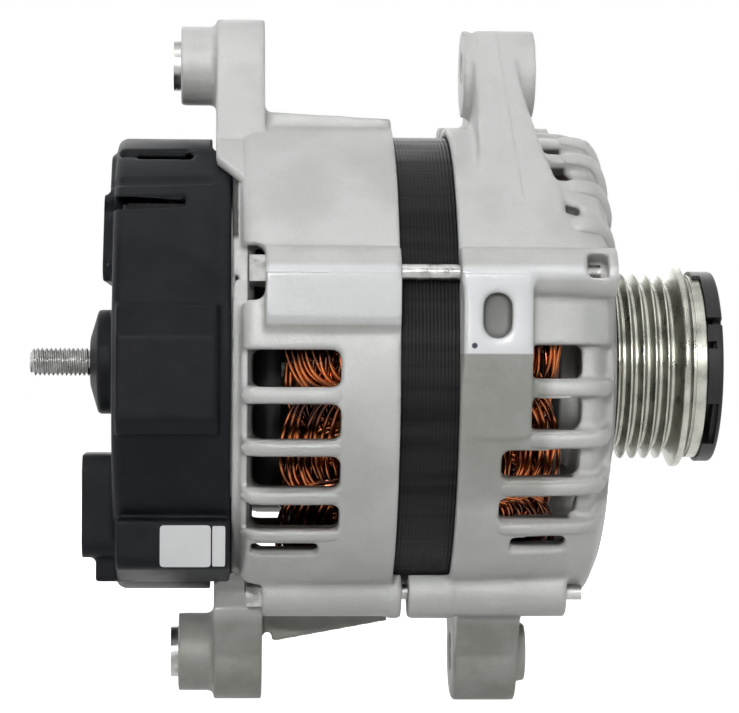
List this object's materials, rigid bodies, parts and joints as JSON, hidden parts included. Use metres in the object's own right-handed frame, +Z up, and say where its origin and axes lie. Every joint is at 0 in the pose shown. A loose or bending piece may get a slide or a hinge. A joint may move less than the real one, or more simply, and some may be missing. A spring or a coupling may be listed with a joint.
{
  "type": "alternator",
  "caption": "Engine driven alternator: two vented cast housings with mounting ears round a wound stator and claw pole rotor, ribbed one way pulley, rear cover, battery stud and plug housing.",
  "frame": {"origin": "where the shaft's axis meets the centre plane of the belt track", "axes": "+X along the shaft towards the pulley's cap, +Z up through the upper ears, -Y towards the side that the picture shows"},
  "size_m": [0.1989, 0.1449, 0.2004],
  "materials": {
    "cast_aluminium": "as cast, satin",
    "stator_steel": "dark varnished laminations",
    "slot_paper": "matte",
    "enamelled_copper": "glossy enamel",
    "zinc_steel": "zinc plated",
    "bearing_steel": "ground",
    "cage_plastic": "matte",
    "seal_rubber": "matte",
    "sleeve_plastic": "matte",
    "rotor_steel": "forged, oiled",
    "shaft_steel": "ground",
    "bobbin_plastic": "matte",
    "fan_steel": "pressed sheet",
    "ring_copper": "polished track",
    "pulley_steel": "phosphated, turned",
    "cap_plastic": "matte",
    "cover_plastic": "moulded, semi matte",
    "sink_aluminium": "stamped",
    "dark_plastic": "matte",
    "diode_metal": "plated",
    "brush_carbon": "matte",
    "spring_steel": "drawn wire",
    "tinned_brass": "tinned"
  },
  "bodies": {
    "housing": {"front_housing": "cast_aluminium", "rear_housing": "cast_aluminium", "stator_core": "stator_steel", "slot_liners": "slot_paper", "stator_winding": "enamelled_copper", "stator_leads": "enamelled_copper", "through_bolts": "zinc_steel", "front_bearing_outer_race": "bearing_steel", "front_bearing_seals": "seal_rubber", "rear_bearing_outer_race": "bearing_steel", "rear_bearing_seals": "seal_rubber", "rear_bearing_sleeve": "sleeve_plastic", "bearing_retainer": "zinc_steel", "retainer_screws": "zinc_steel", "rear_cover": "cover_plastic", "cover_studs": "zinc_steel", "cover_nuts": "zinc_steel", "negative_heat_sink": "sink_aluminium", "terminal_plate": "dark_plastic", "positive_heat_sink": "sink_aluminium", "negative_diodes": "diode_metal", "positive_diodes": "diode_metal", "rectifier_spacers": "dark_plastic", "battery_stud": "zinc_steel", "regulator": "dark_plastic", "regulator_fins": "sink_aluminium", "plug_pins": "tinned_brass", "brush_holder": "dark_plastic"},
    "rotor": {"rotor_shaft": "shaft_steel", "front_claw_pole": "rotor_steel", "rear_claw_pole": "rotor_steel", "field_bobbin": "bobbin_plastic", "field_coil": "enamelled_copper", "front_fan": "fan_steel", "rear_fan": "fan_steel", "front_spacer": "shaft_steel", "slip_ring_sleeve": "sleeve_plastic", "slip_rings": "ring_copper", "front_bearing_inner_race": "bearing_steel", "rear_bearing_inner_race": "bearing_steel", "pulley_hub": "bearing_steel", "clutch_rollers": "bearing_steel", "clutch_cage": "cage_plastic"},
    "pulley": {"pulley_ring": "pulley_steel", "pulley_cap": "cap_plastic"},
    "needle_rows": {"support_needles": "bearing_steel"},
    "front_ball_set": {"front_bearing_balls": "bearing_steel", "front_bearing_cage": "cage_plastic"},
    "rear_ball_set": {"rear_bearing_balls": "bearing_steel", "rear_bearing_cage": "cage_plastic"},
    "positive_brush_body": {"positive_brush": "brush_carbon", "positive_brush_spring": "spring_steel"},
    "negative_brush_body": {"negative_brush": "brush_carbon", "negative_brush_spring": "spring_steel"},
    "upper_bush_body": {"upper_slip_bush": "zinc_steel"},
    "lower_bush_body": {"lower_slip_bush": "zinc_steel"}
  },
  "joints": [
    {"name": "rotor_spin", "type": "hinge", "parent": "housing", "child": "rotor", "pos_m": [0, 0, 0], "axis": [1, 0, 0], "continuous": true},
    {"name": "pulley_overrun", "type": "hinge", "parent": "rotor", "child": "pulley", "pos_m": [0, 0, 0], "axis": [1, 0, 0], "continuous": true},
    {"name": "needle_orbit", "type": "hinge", "parent": "rotor", "child": "needle_rows", "pos_m": [0, 0, 0], "axis": [1, 0, 0], "continuous": true},
    {"name": "front_ball_orbit", "type": "hinge", "parent": "housing", "child": "front_ball_set", "pos_m": [0, 0, 0], "axis": [1, 0, 0], "continuous": true},
    {"name": "rear_ball_orbit", "type": "hinge", "parent": "housing", "child": "rear_ball_set", "pos_m": [0, 0, 0], "axis": [1, 0, 0], "continuous": true},
    {"name": "positive_brush_slide", "type": "slide", "parent": "housing", "child": "positive_brush_body", "axis": [0, 0, -1], "range_m": [0, 0.004], "stiffness_N_per_m": 280, "springref_m": -0.012, "deforming": ["positive_brush_spring"]},
    {"name": "negative_brush_slide", "type": "slide", "parent": "housing", "child": "negative_brush_body", "axis": [0, 0, -1], "range_m": [0, 0.004], "stiffness_N_per_m": 280, "springref_m": -0.012, "deforming": ["negative_brush_spring"]},
    {"name": "upper_bush_slide", "type": "slide", "parent": "housing", "child": "upper_bush_body", "axis": [1, 0, 0], "range_m": [0, 0.002]},
    {"name": "lower_bush_slide", "type": "slide", "parent": "housing", "child": "lower_bush_body", "axis": [1, 0, 0], "range_m": [0, 0.002]}
  ],
  "couplings": [
    {"joint": "front_ball_orbit", "follows": "rotor_spin", "ratio": 0.3959},
    {"joint": "rear_ball_orbit", "follows": "rotor_spin", "ratio": 0.3926},
    {"joint": "needle_orbit", "follows": "pulley_overrun", "ratio": 0.5588}
  ]
}
